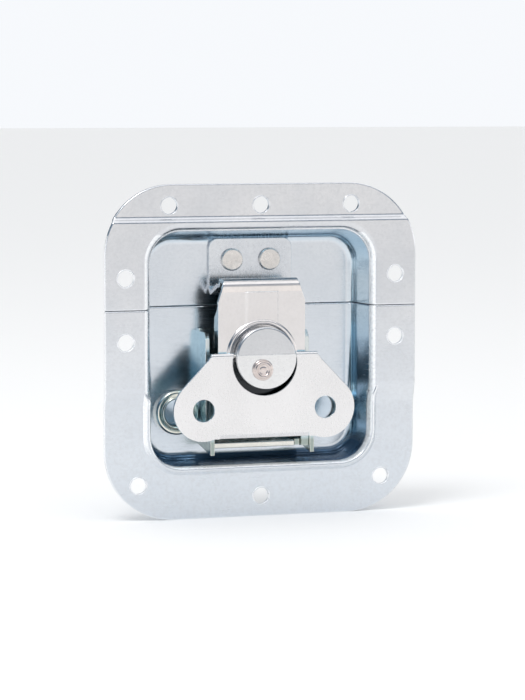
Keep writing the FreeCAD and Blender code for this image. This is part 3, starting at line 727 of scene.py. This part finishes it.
# %% Roll the inner collars
collar = arch(inner=4.45 * MM, outer=5.35 * MM, height=0.45 * MM)
for name, x in (("collar_left", ring_centre.x), ("collar_right", -ring_centre.x)):
    uneven_ring(
        name, [(x, ring_low.y, ring_centre.z, 0.6)], collar,
        wander=0.04, body="dish", finish=ring_metal, steps=72,
    )
print("ring centre", round(ring_centre.x / MM, 2), round(ring_centre.z / MM, 2), "mm")

# %% [markdown]
# ## The peened crank head
# The crank pin was peened in its dimple. The blow raised a lip round the dimple and left a
# small soft button in the middle of the head. Both are turned profiles that wander a little,
# so that the head looks struck and not lathed.

# %% Raise the lip and the button
BUTTON_R = 1.35 * MM
BUTTON_SINK = 0.32 * MM
BUTTON_RISE = 0.34 * MM
crank_lip = arch(inner=1.75 * MM, outer=2.75 * MM, height=0.22 * MM)
button = [(BUTTON_R + 0.10 * MM, -BUTTON_SINK - 0.01 * MM)]
for i in range(ARC_STEPS + 1):
    turn = math.pi / 2 * i / ARC_STEPS
    button.append((BUTTON_R * math.cos(turn) + 1e-6, BUTTON_RISE * math.sin(turn) - BUTTON_SINK))
uneven_ring(
    "crank_head_lip", [(crank_centre.x, crank_low.y, crank_centre.z, 2.2)], crank_lip,
    wander=0.10, body="drum", finish=crank_metal, steps=56,
)
uneven_ring(
    "peened_button", [(crank_centre.x, crank_low.y, crank_centre.z, 0.4)], button,
    wander=0.03, body="drum", finish=crank_metal, steps=40,
)
print("crank head at", round(crank_centre.x / MM, 2), round(crank_centre.z / MM, 2), "mm")

# %% [markdown]
# ## The floor
# The latch stands upright on a pale, matt floor that keeps its soft shadow. A plain sheet
# that runs far past the view is enough, with next to no gloss, so that the latch isn't
# mirrored in it.

# %% Lay the floor
floor_z = cad_low.z
floor_mesh = bpy.data.meshes.new("floor")
floor_mesh.from_pydata(
    [(-6, -4, floor_z), (6, -4, floor_z), (6, 9, floor_z), (-6, 9, floor_z)], [], [(0, 1, 2, 3)]
)
floor = bpy.data.objects.new("floor", floor_mesh)
bpy.context.scene.collection.objects.link(floor)
floor_paint = bpy.data.materials.new("floor_paint")
floor_paint.use_nodes = True
paint = floor_paint.node_tree.nodes["Principled BSDF"]
paint.inputs["Base Color"].default_value = (0.90, 0.91, 0.92, 1)
paint.inputs["Roughness"].default_value = 0.9
paint.inputs["Specular IOR Level"].default_value = 0.15
floor.data.materials.append(floor_paint)
print("floor at", round(floor_z / MM, 2), "mm")

# %% [markdown]
# ## The room and the lamp
# Polished plating shows mostly what surrounds it, so the room matters as much as the lamp.
# Real cards and walls round the latch would shade the floor. The world gives them instead,
# and only to what the metal mirrors: a dark steel-blue side at the left, pale cards at both
# ends, a dark band above eye level and a lit ceiling. The camera sees a plain pale backdrop.

# %% Set up the room
world = bpy.data.worlds.new("room")
bpy.context.scene.world = world
world.use_nodes = True
sky = world.node_tree
sky.nodes.clear()
out = add(sky, "ShaderNodeOutputWorld")
seen = add(sky, "ShaderNodeBackground", Color=(0.93, 0.95, 0.98, 1), Strength=1.0)
matt = add(sky, "ShaderNodeBackground", Color=(1.0, 1.0, 1.0, 1), Strength=0.95)
mirrored = add(sky, "ShaderNodeBackground", Strength=1.0)
path = add(sky, "ShaderNodeLightPath")
where = add(sky, "ShaderNodeTexCoord")
split = add(sky, "ShaderNodeSeparateXYZ")
sky.links.new(where.outputs["Generated"], split.inputs[0])
# Each row is an axis, where the tone starts and where it is full along it, and the tone.
room_tones = (
    ("X", -0.75, 0.10, (1.10, 1.08, 1.06)), ("X", 0.72, 0.90, (1.45, 1.47, 1.50)),
    ("Y", 0.15, 0.50, (0.10, 0.16, 0.20)), ("X", -0.66, -0.76, (1.30, 1.31, 1.33)),
    ("Z", 0.14, 0.30, (0.06, 0.13, 0.22)), ("Z", 0.46, 0.72, (1.25, 1.27, 1.30)),
)
tone = (0.05, 0.16, 0.28)
for axis, start, full, colour in room_tones:
    tone = mix_colour(sky, remap(sky, split.outputs[axis], start, full, 0.0, 1.0), tone, colour)
sky.links.new(tone, mirrored.inputs["Color"])
shown = matt
for flag, background in (("Is Glossy Ray", mirrored), ("Is Camera Ray", seen)):
    choice = add(sky, "ShaderNodeMixShader")
    sky.links.new(path.outputs[flag], choice.inputs[0])
    sky.links.new(shown.outputs[0], choice.inputs[1])
    sky.links.new(background.outputs[0], choice.inputs[2])
    shown = choice
sky.links.new(shown.outputs[0], out.inputs[0])
world.cycles.sampling_method = "NONE"
print("tones in the room:", len(room_tones) + 1)

# %% Hang the key lamp
LATCH_MIDDLE = Vector((0, 0, -0.014))
LAMP_PLACE = Vector((-0.45, -0.42, 0.95))
LAMP_SIDE = 0.45
LAMP_WATTS = 4.2
lamp = bpy.data.lights.new("key_softbox", "AREA")
lamp.shape = "RECTANGLE"
lamp.size = LAMP_SIDE
lamp.size_y = LAMP_SIDE
lamp.energy = LAMP_WATTS
key = bpy.data.objects.new("key_softbox", lamp)
key.location = LAMP_PLACE
key.rotation_euler = (LATCH_MIDDLE - LAMP_PLACE).to_track_quat("-Z", "Y").to_euler()
bpy.context.scene.collection.objects.link(key)
print("lamp stands", round((LATCH_MIDDLE - LAMP_PLACE).length, 2), "m from the latch")

# %% [markdown]
# ## The camera
# The photograph was taken from the latch's left and a little above, with a long lens. Yaw,
# pitch and distance were fitted to the ten holes and the rim, so that the edges of the render
# fall close to where the photograph has them.

# %% Place the camera at the photograph's angle
CAMERA_YAW = math.radians(17.806)
CAMERA_PITCH = math.radians(5.325)
CAMERA_ROLL = math.radians(-0.027)
CAMERA_DISTANCE = 0.8916
CAMERA_LENS = 143.26
CAMERA_TARGET = Vector((-0.0001, -0.0012, -0.01354))
ahead = Vector((
    math.sin(CAMERA_YAW) * math.cos(CAMERA_PITCH), math.cos(CAMERA_YAW) * math.cos(CAMERA_PITCH),
    -math.sin(CAMERA_PITCH),
))
lens = bpy.data.cameras.new("camera")
lens.sensor_fit = "VERTICAL"
lens.sensor_height = 36
lens.lens = CAMERA_LENS
lens.clip_start = 0.01
camera = bpy.data.objects.new("camera", lens)
camera.location = CAMERA_TARGET - ahead * CAMERA_DISTANCE
turn = ahead.to_track_quat("-Z", "Y").to_matrix().to_4x4()
spin = Matrix.Rotation(-CAMERA_ROLL, 4, "Z")
camera.matrix_world = Matrix.Translation(camera.location) @ turn @ spin
bpy.context.scene.collection.objects.link(camera)
bpy.context.scene.camera = camera
bpy.context.scene.view_settings.view_transform = "Standard"
print("camera at", [round(v, 3) for v in camera.location])
